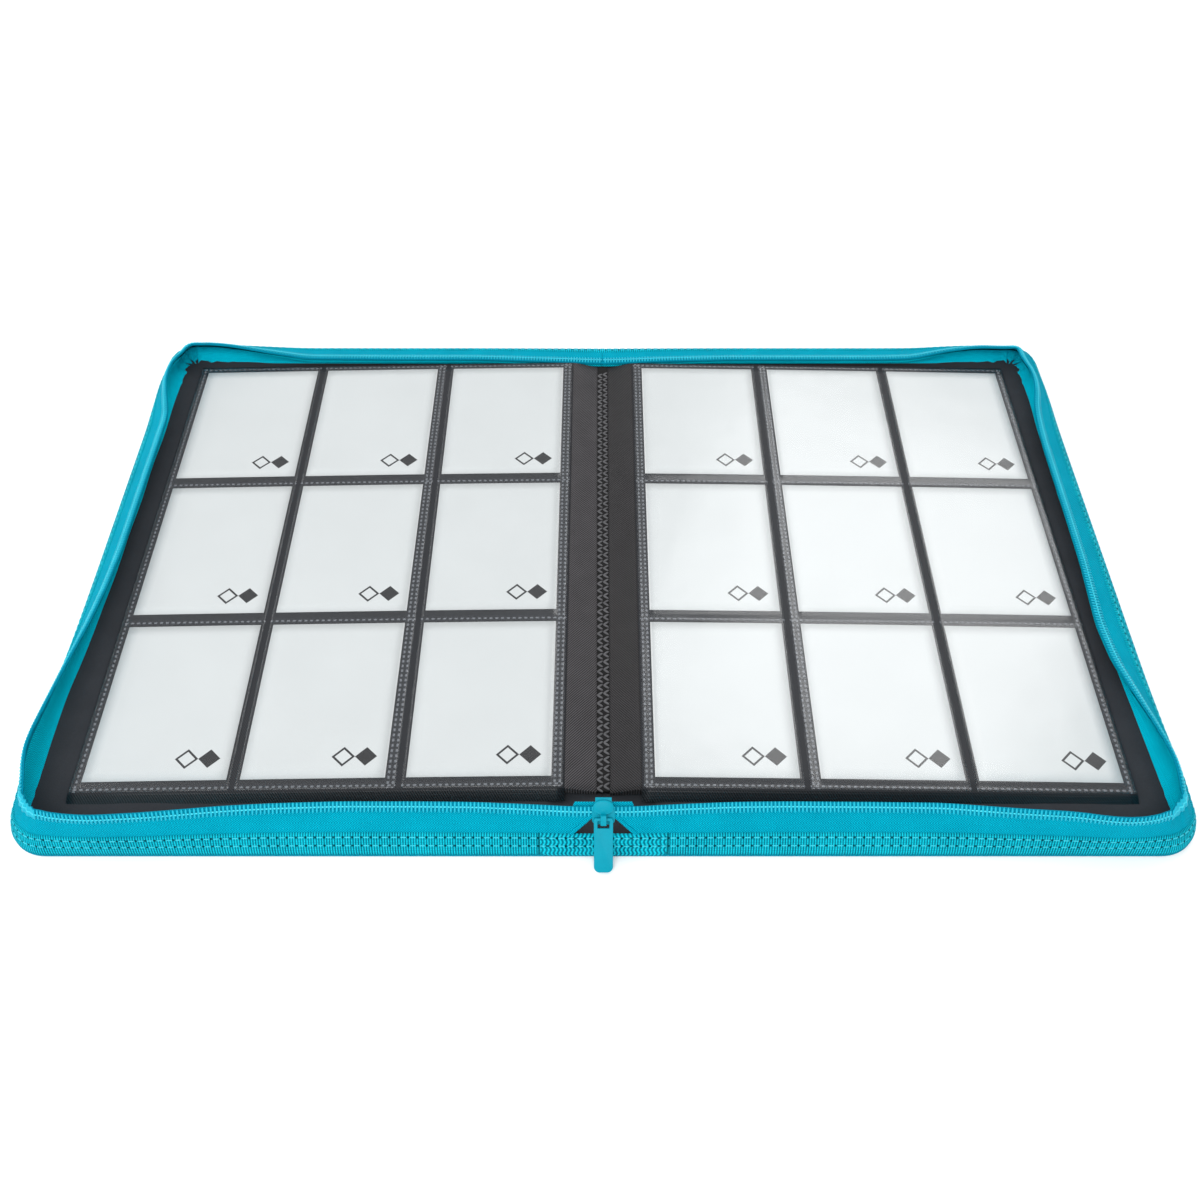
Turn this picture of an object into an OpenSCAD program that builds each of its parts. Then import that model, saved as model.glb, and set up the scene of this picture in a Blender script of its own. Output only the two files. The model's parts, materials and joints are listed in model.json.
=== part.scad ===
// Zip-round binder for trading cards, lying open and flat.
// Millimetres, +Z up. The origin is on the underside of the spine, at its middle.
// The front cover lies to -X, the back cover to +X, and the zip pull is at -Y.

/* [Covers] */
// Hinge line to the outer edge of a cover
cover_w = 230; // [224:1:280]
// Bottom edge to top edge
cover_h = 340; // [328:1:408]
// Outer corner radius of a cover, seen from above
corner_r = 19; // [17:1:30]
// Outer fabric
skin_t = 1; // [0.6:0.1:1.4]
// Stiff board
board_t = 2; // [1.5:0.1:2.5]
// Foam between the board and the lining
foam_t = 1; // [0.5:0.1:1.5]
// Lining
lining_t = 0.5; // [0.3:0.1:0.8]

/* [Spine] */
// Hinge line to hinge line
spine_w = 49; // [49:1:70]
// Gap that stays between the edge of a closed cover and the spine board
hinge_gap = 0.5; // [0.3:0.1:1]

/* [Edge binding and zip] */
// Thickness of the folded binding
band_t = 1.2; // [0.8:0.1:1.5]
// Height of the binding's top edge
band_rise = 9.5; // [8:0.1:10]
// How far the binding's top edge leans inwards
band_lean = 5; // [3:0.1:6]
// Thickness of the zip tape
tape_t = 0.8; // [0.5:0.1:1]
// Height of the zip tape's top edge
tape_rise = 18; // [16:0.1:18]
// How far the zip tape's top edge leans inwards
tape_lean = 12; // [9:0.1:12]
// Width of one row of the zip's coil
coil_w = 1.6; // [1:0.1:1.8]
// Height of one row of the zip's coil
coil_t = 1.2; // [0.8:0.1:1.4]
// Thickness of the sewing thread where it stands proud
thread_t = 0.3; // [0.2:0.05:0.5]

/* [Leaves and pockets] */
// Width of a card
card_w = 63.5; // [59:0.5:65.5]
// Height of a card
card_h = 88; // [80:0.5:91]
// Thickness of a card
card_t = 0.3; // [0.2:0.05:0.32]
// Inner edge of a leaf, measured from the seam
leaf_in = 16.8; // [15:0.1:18]
// Thickness of a leaf
leaf_t = 0.3; // [0.2:0.02:0.34]
// Height from one leaf to the next
leaf_pitch = 0.4; // [0.36:0.01:0.42]
// Bottom leaf to the lining below it
leaf_gap = 0.2; // [0.1:0.05:0.3]
// Clear film of a pocket
film_t = 0.12; // [0.08:0.01:0.15]
// Card to the edge of the film at a pocket's mouth
lip = 1.8; // [1:0.1:2.5]
// Card to the edge of the film on the welded side
weld = 5; // [3:0.1:6]
// Card to the edge of the film on a leaf's outer edge, where it is welded
outer_weld = 4.3; // [3:0.1:6]
// Bare leaf between two columns of film
film_gap = 2.4; // [1:0.1:3]
// Film weld to the leaf's inner edge
leaf_in_margin = 0.8; // [0.4:0.1:1.5]
// Height from the top of a card to the top of the one below it, less the card
row_gap = 7.8; // [6:0.1:9]
// Leaf edge above the top card
leaf_top = 4.7; // [4:0.1:7]
// Leaf edge below the bottom card
leaf_bottom = 6.4; // [4:0.1:8]
// Middle of the card rows, measured from the middle of the cover
rows_y = 5.5; // [0:0.1:6]

/* [Slider and pull] */
// Width of the slider's plates
slider_w = 9.5; // [8:0.1:9.8]
// Length of the slider's plates
slider_l = 10; // [9:0.1:11]
// Thickness of a slider plate
plate_t = 1.2; // [0.9:0.1:1.4]
// Channel between the plates
channel = 2.2; // [2:0.1:2.6]
// Half of the opening in the slider's bridge
bridge_in = 1.2; // [1.1:0.05:1.5]
// Thickness of the bridge
bridge_t = 0.9; // [0.7:0.05:1.1]
// Pull width
pull_w = 8; // [6.5:0.1:8.4]
// Pivot to the end of the pull
pull_l = 22.8; // [18:0.1:23]
// Pull thickness
pull_t = 1.2; // [0.9:0.1:1.4]
// Length of the slot in the pull
slot_l = 3.1; // [2.9:0.05:3.8]

/* [Hidden] */
$fn = 48;
leaf_count = 10;
rows = 3;
cols = 3;
hinge_x = spine_w / 2;
hinge_z = skin_t / 2;
cover_x = hinge_x + cover_w;
cover_t = skin_t + board_t + foam_t + lining_t;
// Inner edge of a cover's layers: the fold of fabric at the hinge needs this much
fold_clear = 0.3;
cover_in = hinge_x + skin_t / 2 + fold_clear;
// Half width of the spine board: a closed cover's edge stands beside it
board_half = hinge_x - (cover_t - hinge_z) - hinge_gap;
// Direction of the leaning zip tape, inwards and up
tape_len = norm([tape_lean - band_lean, tape_rise - band_rise]);
tape_u = [tape_lean - band_lean, tape_rise - band_rise] / tape_len;
// Top of the coil, and where the leaning wall may begin so that it clears
// the spine's own wall when the cover closes
wall_top = tape_rise + coil_t;
wall_clear = 0.8;
wall_in = hinge_x + wall_top + wall_clear;
// Heights in the leaf stack
leaf_z0 = cover_t + leaf_gap;
top_leaf_z = leaf_z0 + (leaf_count - 1) * leaf_pitch;
card_z = top_leaf_z + leaf_t;
film_clear = 0.03;
film_top = card_z + card_t + film_t + film_clear;
pocket_slack = 0.5;
outer_margin = 0.3;
rows_h = rows * card_h + (rows - 1) * row_gap;
leaf_h = rows_h + leaf_top + leaf_bottom;
leaf_y = rows_y - rows_h / 2 - leaf_bottom;
film_end = 1;
card_corner = 3;
// Slider: its place on the wall, and directions along and out of the zip's plane
slider_drop = 0.8;
slider_at = [0, -(cover_h / 2 - tape_lean), tape_rise - slider_drop];
lean_angle = atan2(tape_u[1], tape_u[0]);
pivot_u = -2.4;
pivot_n = channel / 2 + plate_t + bridge_in;
pull_tilt = -3.2;
slider_gap = 1.2;
gutter_t = 2;
gutter_half = 14;
seam_half = 2.5;
seam_pitch = 5.75;
// Stitch rows along the binding's face, and the width of a stitch
thread_rows = [1.6, 5.2];
thread_w = 0.5;
// Fabric tab behind the slider
tab_half = 14;
tab_w = 2.4;
tab_t = 0.6;
tab_foot = 3;
tab_gap = 0.3;
tab_low = 0.6;

function leaf_name(side, i) = str(side, "_leaf_", i < 10 ? "0" : "", i);
function leaf_z(i) = leaf_z0 + (i - 1) * leaf_pitch;
// Inner edge of the film of a column, and of the card in it
function film_x(c) =
    leaf_in + leaf_in_margin
    + (c > 0 ? weld + card_w + lip + film_gap : 0)
    + (c > 1 ? weld + card_w + lip + film_gap : 0);
function card_x(c) = film_x(c) + (c < 2 ? weld : lip);
function card_y(r) = rows_y + (r - (rows - 1) / 2) * (card_h + row_gap);
leaf_w = card_x(cols - 1) + card_w + outer_weld + outer_margin - leaf_in;

cover_pieces = ["skin", "board", "foam", "lining", "binding", "stitching", "zip_tape", "zip_coil"];

// ---- Shapes that repeat ----

// Everything for one side is drawn for +X; the left side is its mirror image.
module side(left) {
    if (left) mirror([1, 0, 0]) children();
    else children();
}

// Rectangle from x0 to x1 whose two outer corners, at x1, are round.
module cover_outline(x0, x1, half, r) {
    translate([x0, -half]) square([x1 - r - x0, 2 * half]);
    translate([x1 - r, -half + r]) square([r, 2 * (half - r)]);
    for (s = [-1, 1]) translate([x1 - r, s * (half - r)]) circle(r);
}

module cover_layer(z, t) {
    translate([0, 0, z]) linear_extrude(t)
        cover_outline(cover_in, cover_x - band_t, cover_h / 2 - band_t, corner_r - band_t);
}

// Carries a section, x inwards from the edge and y up, along one end of the cover.
module end_run(x0, x1) {
    translate([x0, -cover_h / 2, 0]) rotate([90, 0, 90]) linear_extrude(x1 - x0) children();
}

module both_ends() {
    children();
    mirror([0, 1, 0]) children();
}

// Carries a section round the three free sides of a cover, from x0 at one end
// round both corners to x0 at the other.
module around(x0) {
    both_ends() end_run(x0, cover_x - corner_r) children();
    translate([cover_x, 0, 0]) mirror([1, 0, 0]) rotate([90, 0, 0])
        linear_extrude(cover_h - 2 * corner_r, center = true) children();
    both_ends() translate([cover_x - corner_r, corner_r - cover_h / 2, 0])
        rotate([0, 0, -90]) rotate_extrude(angle = 90)
            translate([corner_r, 0]) mirror([1, 0]) children();
}

// Sections, x inwards from the cover's edge and y up.
module band_section() {
    polygon([[0, 0], [0, cover_t], [band_lean, band_rise], [band_lean + band_t, band_rise],
             [band_t, cover_t], [band_t, 0]]);
}

module low_band_section() {
    square([band_t, cover_t]);
}

module tape_section() {
    polygon([[band_lean, band_rise], [tape_lean, tape_rise], [tape_lean + tape_t, tape_rise],
             [band_lean + tape_t, band_rise]]);
}

module coil_section() {
    translate([tape_lean, tape_rise]) square([coil_w, coil_t]);
}

// Two rows of thread on the binding's leaning face.
module thread_section() {
    run = [band_lean, band_rise - cover_t] / norm([band_lean, band_rise - cover_t]);
    out = [-run[1], run[0]];
    for (along = thread_rows)
        polygon([for (q = [[0, 0], [thread_w, 0], [thread_w, thread_t], [0, thread_t]])
            [0, cover_t] + run * (along + q[0]) + out * q[1]]);
}

// A card with round corners, its inner bottom corner at the origin.
module card() {
    translate([card_corner, 0]) square([card_w - 2 * card_corner, card_h]);
    translate([0, card_corner]) square([card_w, card_h - 2 * card_corner]);
    for (x = [card_corner, card_w - card_corner], y = [card_corner, card_h - card_corner])
        translate([x, y]) circle(card_corner);
}

// Turns local x, y, z into across, up along the zip's plane, and out of it.
module on_slider() {
    translate(slider_at) rotate([lean_angle, 0, 0]) children();
}

// ---- Spine ----

module spine_skin() {
    color("darkcyan") translate([-hinge_x, band_t - cover_h / 2, 0])
        cube([spine_w, cover_h - 2 * band_t, skin_t]);
}

module spine_board() {
    color("dimgray") translate([-board_half, band_t - cover_h / 2, skin_t])
        cube([2 * board_half, cover_h - 2 * band_t, board_t]);
}

module spine_lining() {
    color([0.08, 0.08, 0.09]) translate([-board_half, band_t - cover_h / 2, skin_t + board_t])
        cube([2 * board_half, cover_h - 2 * band_t, lining_t]);
}

module spine_front_binding() {
    color("darkturquoise") end_run(-board_half, board_half) band_section();
}

module spine_back_binding() {
    mirror([0, 1, 0]) spine_front_binding();
}

module front_zip_end() {
    color("darkturquoise") end_run(slider_w / 2 + slider_gap, board_half) tape_section();
}

module back_zip_end() {
    color("darkturquoise") mirror([0, 1, 0]) end_run(-board_half, board_half) tape_section();
}

// Fabric tab behind the slider, which joins the ends of the two tapes.
module zip_end_tab() {
    back = -channel / 2 - plate_t - tab_gap - tab_t;
    color("darkturquoise") on_slider() {
        translate([-tab_half, tab_low, back]) cube([2 * tab_half, tab_w, tab_t]);
        for (s = [-1, 1])
            translate([s * (tab_half - tab_foot / 2) - tab_foot / 2, tab_low, back])
                cube([tab_foot, tab_w, -back - tape_t * tape_u[1]]);
    }
}

// The folded inner strips of all leaves, pressed together where they are sewn.
module folio_gutter() {
    color([0.1, 0.1, 0.11])
        translate([-gutter_half, leaf_y, skin_t + board_t + lining_t])
            cube([2 * gutter_half, leaf_h, gutter_t]);
}

// Zigzag seam down the middle of the gutter.
module seam_stitching() {
    half_turns = 2 * floor(rows_h / seam_pitch);
    step = seam_pitch / 2;
    half_thread = 0.3;
    function zig(k) =
        [(k % 2 == 0 ? -1 : 1) * (seam_half - half_thread), (k - half_turns / 2) * step];
    color([0.05, 0.05, 0.05])
        translate([0, rows_y, skin_t + board_t + lining_t + gutter_t]) linear_extrude(thread_t)
            polygon(concat(
                [for (k = [0 : half_turns]) zig(k) + [-half_thread, 0]],
                [for (k = [half_turns : -1 : 0]) zig(k) + [half_thread, 0]]));
}

// ---- Covers ----

module cover_skin(left) { color("darkcyan") side(left) cover_layer(0, skin_t); }
module cover_board(left) { color("dimgray") side(left) cover_layer(skin_t, board_t); }
module cover_foam(left) { color("gray") side(left) cover_layer(skin_t + board_t, foam_t); }
module cover_lining(left) {
    color([0.08, 0.08, 0.09]) side(left) cover_layer(skin_t + board_t + foam_t, lining_t);
}

module cover_binding(left) {
    color("darkturquoise") side(left) {
        around(wall_in) band_section();
        both_ends() end_run(cover_in, wall_in) low_band_section();
    }
}

module cover_stitching(left) { color("paleturquoise") side(left) around(wall_in) thread_section(); }
module cover_zip_tape(left) { color("darkturquoise") side(left) around(wall_in) tape_section(); }
module cover_zip_coil(left) { color("turquoise") side(left) around(wall_in) coil_section(); }

// ---- Leaves, pockets and cards ----

module leaf(left, i) {
    color([0.1, 0.1, 0.11]) side(left) translate([leaf_in, leaf_y, leaf_z(i)])
        cube([leaf_w, leaf_h, leaf_t]);
}

// Clear film over the top leaf: one strip a column, open towards the mouths.
module pockets(left) {
    function strip_w(c) = lip + card_w + (c < cols - 1 ? weld : outer_weld);
    color([0.8, 0.85, 0.88, 0.4]) side(left) for (c = [0 : cols - 1]) difference() {
        translate([film_x(c), leaf_y + film_end, card_z])
            cube([strip_w(c), leaf_h - 2 * film_end, film_top - card_z]);
        for (r = [0 : rows - 1])
            translate([card_x(c) - (c < 2 ? pocket_slack : lip + 1),
                       card_y(r) - card_h / 2 - pocket_slack, card_z - 1])
                cube([card_w + pocket_slack + lip + 1, card_h + 2 * pocket_slack,
                      1 + film_top - film_t - card_z]);
    }
}

module cards(left) {
    color("white") side(left) for (c = [0 : cols - 1], r = [0 : rows - 1])
        translate([card_x(c), card_y(r) - card_h / 2, card_z]) linear_extrude(card_t) card();
}

// ---- Slider and pull ----

module slider_plate(z) {
    r = slider_w / 2;
    translate([0, 0, z]) linear_extrude(plate_t) {
        translate([-r, -slider_l / 2 + 2]) square([slider_w, slider_l - 2 - r]);
        translate([-r + 2, -slider_l / 2]) square([slider_w - 4, 2]);
        for (s = [-1, 1]) translate([s * (r - 2), -slider_l / 2 + 2]) circle(2);
        translate([0, slider_l / 2 - r]) circle(r);
    }
}

module slider_body() {
    neck_w = 2.6;
    neck_l = 3.2;
    neck_y = 0.5;
    nose_w = 6.8;
    nose_l = 3;
    color("darkcyan") on_slider() {
        slider_plate(channel / 2);
        slider_plate(-channel / 2 - plate_t);
        translate([-neck_w / 2, neck_y, -channel / 2]) cube([neck_w, neck_l, channel]);
        translate([-nose_w / 2, slider_l / 2 - nose_l / 2, channel / 2])
            cube([nose_w, nose_l, plate_t * 0.8]);
    }
}

// Loop that holds the pull, and the domed crown above it.
module slider_bridge() {
    base = channel / 2 + plate_t;
    out = bridge_in + bridge_t;
    bridge_w = 2.4;
    crown_r = 3.6;
    crown_h = 1.6;
    ball_r = (crown_r * crown_r + crown_h * crown_h) / (2 * crown_h);
    color("darkcyan") on_slider() {
        difference() {
            translate([-bridge_w / 2, pivot_u - out, base])
                cube([bridge_w, 2 * out, bridge_in + out]);
            translate([-bridge_w, pivot_u - bridge_in, base - 1])
                cube([2 * bridge_w, 2 * bridge_in, 1 + 2 * bridge_in]);
        }
        intersection() {
            translate([0, slider_l / 2 - crown_r, base + crown_h - ball_r]) sphere(ball_r);
            translate([-5, pivot_u + out, base]) cube([10, 10, 5]);
        }
    }
}

// Pull plate with a slot over the bridge; its pivot is the bar above the slot.
module pull_tab() {
    bar = 0.6;
    slot_w = 4.9;
    r = 2.5;
    color("darkturquoise") on_slider() translate([0, pivot_u, pivot_n]) rotate([pull_tilt, 0, 0])
        translate([0, 0, -pull_t / 2]) linear_extrude(pull_t) difference() {
            union() {
                translate([-pull_w / 2, r - pull_l]) square([pull_w, pull_l - r - 1 + bar]);
                translate([1 - pull_w / 2, -1]) square([pull_w - 2, 1 + bar]);
                translate([r - pull_w / 2, -pull_l]) square([pull_w - 2 * r, r]);
                for (s = [-1, 1]) {
                    translate([s * (pull_w / 2 - r), r - pull_l]) circle(r);
                    translate([s * (pull_w / 2 - 1), bar - 1]) circle(1);
                }
            }
            translate([-slot_w / 2, -bar - slot_l]) square([slot_w, slot_l]);
        }
}

spine_skin();
spine_board();
spine_lining();
spine_front_binding();
spine_back_binding();
side(true) front_zip_end();  // front_zip_end_left
side(false) front_zip_end();  // front_zip_end_right
back_zip_end();
zip_end_tab();
folio_gutter();
seam_stitching();
cover_skin(true);  // front_cover_skin
cover_board(true);  // front_cover_board
cover_foam(true);  // front_cover_foam
cover_lining(true);  // front_cover_lining
cover_binding(true);  // front_cover_binding
cover_stitching(true);  // front_cover_stitching
cover_zip_tape(true);  // front_cover_zip_tape
cover_zip_coil(true);  // front_cover_zip_coil
cover_skin(false);  // back_cover_skin
cover_board(false);  // back_cover_board
cover_foam(false);  // back_cover_foam
cover_lining(false);  // back_cover_lining
cover_binding(false);  // back_cover_binding
cover_stitching(false);  // back_cover_stitching
cover_zip_tape(false);  // back_cover_zip_tape
cover_zip_coil(false);  // back_cover_zip_coil
for (i = [1 : leaf_count]) {
    leaf(true, i);
    leaf(false, i);
}
pockets(true);  // left_pockets
pockets(false);  // right_pockets
cards(true);  // left_cards
cards(false);  // right_cards
slider_body();
slider_bridge();
pull_tab();
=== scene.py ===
"""Looks of a zip-round binder for trading cards, lying open and flat on a pale floor."""

import json
import logging
import math
from collections.abc import Callable
from dataclasses import dataclass
from enum import Enum
from functools import cache
from typing import Any

import bmesh
import bpy
import numpy as np
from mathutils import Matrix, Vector

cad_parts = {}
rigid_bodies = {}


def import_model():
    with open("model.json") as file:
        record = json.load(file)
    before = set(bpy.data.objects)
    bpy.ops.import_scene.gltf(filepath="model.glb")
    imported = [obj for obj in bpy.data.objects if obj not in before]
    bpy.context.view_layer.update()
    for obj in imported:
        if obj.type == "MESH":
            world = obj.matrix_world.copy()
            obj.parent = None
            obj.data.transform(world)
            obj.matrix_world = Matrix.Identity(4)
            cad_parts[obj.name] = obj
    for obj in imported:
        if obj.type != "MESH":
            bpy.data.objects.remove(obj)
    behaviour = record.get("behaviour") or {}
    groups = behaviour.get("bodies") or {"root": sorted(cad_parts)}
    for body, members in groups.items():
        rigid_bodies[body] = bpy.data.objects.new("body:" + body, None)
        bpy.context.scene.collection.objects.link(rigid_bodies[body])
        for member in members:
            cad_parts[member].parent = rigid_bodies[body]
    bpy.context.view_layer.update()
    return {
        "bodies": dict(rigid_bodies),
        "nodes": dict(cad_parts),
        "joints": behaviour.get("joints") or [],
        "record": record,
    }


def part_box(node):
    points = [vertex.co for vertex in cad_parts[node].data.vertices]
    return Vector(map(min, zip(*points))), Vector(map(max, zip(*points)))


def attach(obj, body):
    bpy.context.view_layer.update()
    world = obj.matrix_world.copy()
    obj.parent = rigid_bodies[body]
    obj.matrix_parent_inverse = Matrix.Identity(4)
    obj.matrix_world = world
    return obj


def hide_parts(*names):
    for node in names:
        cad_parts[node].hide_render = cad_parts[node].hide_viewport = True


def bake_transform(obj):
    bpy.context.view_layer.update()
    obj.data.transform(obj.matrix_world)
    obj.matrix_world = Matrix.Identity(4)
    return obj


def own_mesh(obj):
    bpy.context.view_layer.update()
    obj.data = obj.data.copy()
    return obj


MM = 0.001
PER_METRE = 1000.0
# The binding's two rows of stitches, as distances up its band, and their pitch.
STITCH_ROWS = (5.7, 9.4)
STITCH_PITCH = 3.9
LOG = logging.getLogger("binder")
Array = np.ndarray
Colour = tuple[float, float, float]


class Side(Enum):
    """The two halves of the open binder, by the sign of X."""

    LEFT = -1
    RIGHT = 1

    @property
    def word(self) -> str:
        """Name of the side, as pieces use it."""
        return self.name.lower()

    @property
    def cover(self) -> str:
        """Name of the cover's body on this side."""
        return "front_cover" if self is Side.LEFT else "back_cover"


class Weave(Enum):
    """Ways in which a cloth's threads lie."""

    PLAIN = "plain"
    RIBBED = "ribbed"
    HERRINGBONE = "herringbone"


def paint_colour(red: int, green: int, blue: int) -> Colour:
    """Linear colour of a screen colour: each channel to the power 2.2, as a share of 255.

    Args:
        red: Red, 0 to 255.
        green: Green, 0 to 255.
        blue: Blue, 0 to 255.

    Returns:
        The three linear channels.
    """
    return tuple((c / 255) ** 2.2 for c in (red, green, blue))


# ---- Shader maths ----


class Value:
    """A float socket that does sums: each operator adds one Math node."""

    def __init__(self, paint: "Paint", socket: bpy.types.NodeSocket) -> None:
        """Keeps the socket and the paint that it belongs to."""
        self.paint = paint
        self.socket = socket

    def maths(self, operation: str, *others: Any, clamp: bool = False) -> "Value":
        """This value put through one Math node.

        Args:
            operation: Blender's name of the operation.
            others: The other inputs, numbers or values.
            clamp: Whether the result is held between 0 and 1.

        Returns:
            The node's result.
        """
        settings = {"operation": operation, "use_clamp": clamp}
        node = self.paint.node("ShaderNodeMath", settings, dict(enumerate((self, *others))))
        return Value(self.paint, node.outputs[0])

    def __add__(self, other: Any) -> "Value":
        """Sum."""
        return self.maths("ADD", other)

    def __sub__(self, other: Any) -> "Value":
        """Difference."""
        return self.maths("SUBTRACT", other)

    def __rsub__(self, other: float) -> "Value":
        """A number less this value."""
        return (self * -1.0) + other

    def __mul__(self, other: Any) -> "Value":
        """Product."""
        return self.maths("MULTIPLY", other)

    def __truediv__(self, other: Any) -> "Value":
        """Quotient."""
        return self.maths("DIVIDE", other)

    __radd__ = __add__
    __rmul__ = __mul__

    def __abs__(self) -> "Value":
        """Size without sign."""
        return self.maths("ABSOLUTE")

    def wave(self, pitch: float) -> "Value":
        """A cosine of this length, from 0 to 1, that repeats every pitch."""
        return (self * (2 * math.pi / pitch)).maths("COSINE") * 0.5 + 0.5

    def saw(self, pitch: float) -> "Value":
        """Distance from the nearest multiple of the pitch, from 0 to half the pitch."""
        return abs((self / pitch + 0.5).maths("FRACT") - 0.5) * pitch

    def below(self, edge: float, soft: float) -> "Value":
        """1 where this value is under the edge, 0 above it, with a soft step."""
        return ((self * -1.0 + edge) / soft + 0.5).maths("ADD", 0.0, clamp=True)


class Paint:
    """Builder of one material's node tree."""

    def __init__(self, name: str) -> None:
        """Starts an empty material of that name."""
        self.material = bpy.data.materials.new(name)
        self.material.use_nodes = True
        self.tree = self.material.node_tree
        self.tree.nodes.clear()

    def node(self, kind: str, settings: dict[str, Any] | None = None,
             inputs: dict[int | str, Any] | None = None) -> bpy.types.Node:
        """Adds a node, sets it up and fills its sockets.

        Args:
            kind: Blender's type of the node.
            settings: Attributes, set first.
            inputs: Numbers, colours, sockets or values, by socket name or number.

        Returns:
            The node.
        """
        node = self.tree.nodes.new(kind)
        for key, setting in (settings or {}).items():
            setattr(node, key, setting)
        for key, given in (inputs or {}).items():
            if isinstance(given, Value):
                given = given.socket
            if isinstance(given, bpy.types.NodeSocket):
                self.tree.links.new(given, node.inputs[key])
            elif given is not None:
                node.inputs[key].default_value = given
        return node

    def place(self) -> tuple[Value, Value, Value]:
        """Object coordinates in millimetres."""
        texture = self.node("ShaderNodeTexCoord")
        parts = self.node("ShaderNodeSeparateXYZ", None, {0: texture.outputs["Object"]})
        return tuple(Value(self, parts.outputs[i]) * PER_METRE for i in range(3))

    def lay(self) -> tuple[Value, Value]:
        """The piece's own UV in millimetres: along the strip, and across it."""
        texture = self.node("ShaderNodeTexCoord")
        parts = self.node("ShaderNodeSeparateXYZ", None, {0: texture.outputs["UV"]})
        return tuple(Value(self, parts.outputs[i]) * PER_METRE for i in range(2))

    def noise(self, size: float, detail: float = 2.0) -> Value:
        """Cloudy noise over Object coordinates.

        Args:
            size: Size of a cloud in millimetres.
            detail: Number of finer layers.

        Returns:
            The noise, about 0.5 on average.
        """
        texture = self.node("ShaderNodeTexCoord")
        cloud = self.node("ShaderNodeTexNoise", None,
                          {"Vector": texture.outputs["Object"], "Scale": PER_METRE / size,
                           "Detail": detail})
        return Value(self, cloud.outputs["Fac"])

    def mix(self, share: Any, first: Any, second: Any) -> bpy.types.NodeSocket:
        """Colour that goes from the first to the second as share goes from 0 to 1."""
        if isinstance(first, tuple):
            first = (*first, 1.0)
        if isinstance(second, tuple):
            second = (*second, 1.0)
        node = self.node("ShaderNodeMix", {"data_type": "RGBA", "clamp_factor": True},
                         {0: share, 6: first, 7: second})
        return node.outputs[2]

    def bump(self, height: Value, depth: float, strength: float = 1.0,
             under: bpy.types.NodeSocket | None = None) -> bpy.types.NodeSocket:
        """Normal bent by a height.

        Args:
            height: Height from 0 to 1.
            depth: What 1 stands for, in millimetres.
            strength: Share of the effect.
            under: Normal of a bump below this one.

        Returns:
            The normal.
        """
        inputs = {"Height": height, "Distance": depth * MM, "Strength": strength}
        if under is not None:
            inputs["Normal"] = under
        return self.node("ShaderNodeBump", None, inputs).outputs[0]

    def principled(self, **inputs: Any) -> bpy.types.Node:
        """A Principled shader; underscores in names stand for spaces."""
        named = {key.replace("_", " "): given for key, given in inputs.items()}
        if isinstance(named.get("Base Color"), tuple):
            named["Base Color"] = (*named["Base Color"], 1.0)
        return self.node("ShaderNodeBsdfPrincipled", None, named)

    def finish(self, shader: bpy.types.Node) -> bpy.types.Material:
        """Joins the shader to the output and hands over the material."""
        self.node("ShaderNodeOutputMaterial", None, {"Surface": shader.outputs[0]})
        return self.material


# ---- Finishes ----


@dataclass(frozen=True)
class Cloth:
    """Woven cloth: ribs, a herringbone or a plain weave, with sewing holes where it is sewn."""

    name: str
    light: Colour
    dark: Colour
    weave: Weave = Weave.PLAIN
    pitch: float = 0.6
    depth: float = 0.12
    rough: float = 0.8
    contrast: float = 0.55
    hole_rows: tuple[float, ...] = ()
    spine_end: float = 0.0

    def material(self) -> bpy.types.Material:
        """Threads as a height and a shade over the piece's own lay.

        Returns:
            The material.
        """
        paint = Paint(self.name)
        cloud = paint.noise(14.0, 3.0)
        fuzz = paint.noise(0.5, 2.0)
        if self.weave is Weave.PLAIN:
            x, y, _ = paint.place()
            height = x.wave(self.pitch) * 0.5 + y.wave(self.pitch) * 0.5
        else:
            along, across = paint.lay()
            if self.weave is Weave.RIBBED:
                knit = along.below(self.spine_end, 1.0)
                wavy = across.wave(3.8) * knit * 0.4
                height = (along * (1.0 - knit * 0.35) + wavy + fuzz * 0.25).wave(self.pitch)
                height = height * (0.65 + across.wave(1.3) * 0.35)
            else:
                height = (along + across.saw(4.4) * 1.4 + fuzz * 0.2).wave(self.pitch)
        shade = height * self.contrast + cloud * 0.3 + fuzz * 0.3 + (0.2 - self.contrast / 2)
        colour = paint.mix(shade, self.dark, self.light)
        height = height + fuzz * 0.3
        if self.hole_rows:
            hole = None
            for row in self.hole_rows:
                spot = abs(across - row).below(0.42, 0.25)
                spot = spot * along.saw(STITCH_PITCH).below(0.45, 0.25)
                hole = spot if hole is None else hole + spot
            # The holes are painted near black: painted shade in the recess of each sewing hole.
            colour = paint.mix(hole * 0.8, colour, tuple(c * 0.1 for c in self.dark))
            height = height - hole * 2.0
        return paint.finish(paint.principled(
            Base_Color=colour, Roughness=self.rough, Normal=paint.bump(height, self.depth),
            Specular_IOR_Level=0.03))


@dataclass(frozen=True)
class Plastic:
    """Moulded, painted or spun stuff with fine unevenness."""

    name: str
    light: Colour
    dark: Colour
    rough: float = 0.4
    grain: float = 0.8
    depth: float = 0.02
    gloss: float = 0.3

    def material(self) -> bpy.types.Material:
        """Two shades mixed by cloudy noise, with a shallow grain.

        Returns:
            The material.
        """
        paint = Paint(self.name)
        cloud, grain = paint.noise(6.0, 3.0), paint.noise(self.grain, 2.0)
        return paint.finish(paint.principled(
            Base_Color=paint.mix(cloud * 0.6 + grain * 0.4, self.dark, self.light),
            Roughness=grain * 0.12 + (self.rough - 0.06), Specular_IOR_Level=self.gloss,
            Normal=paint.bump(grain, self.depth)))


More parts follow.
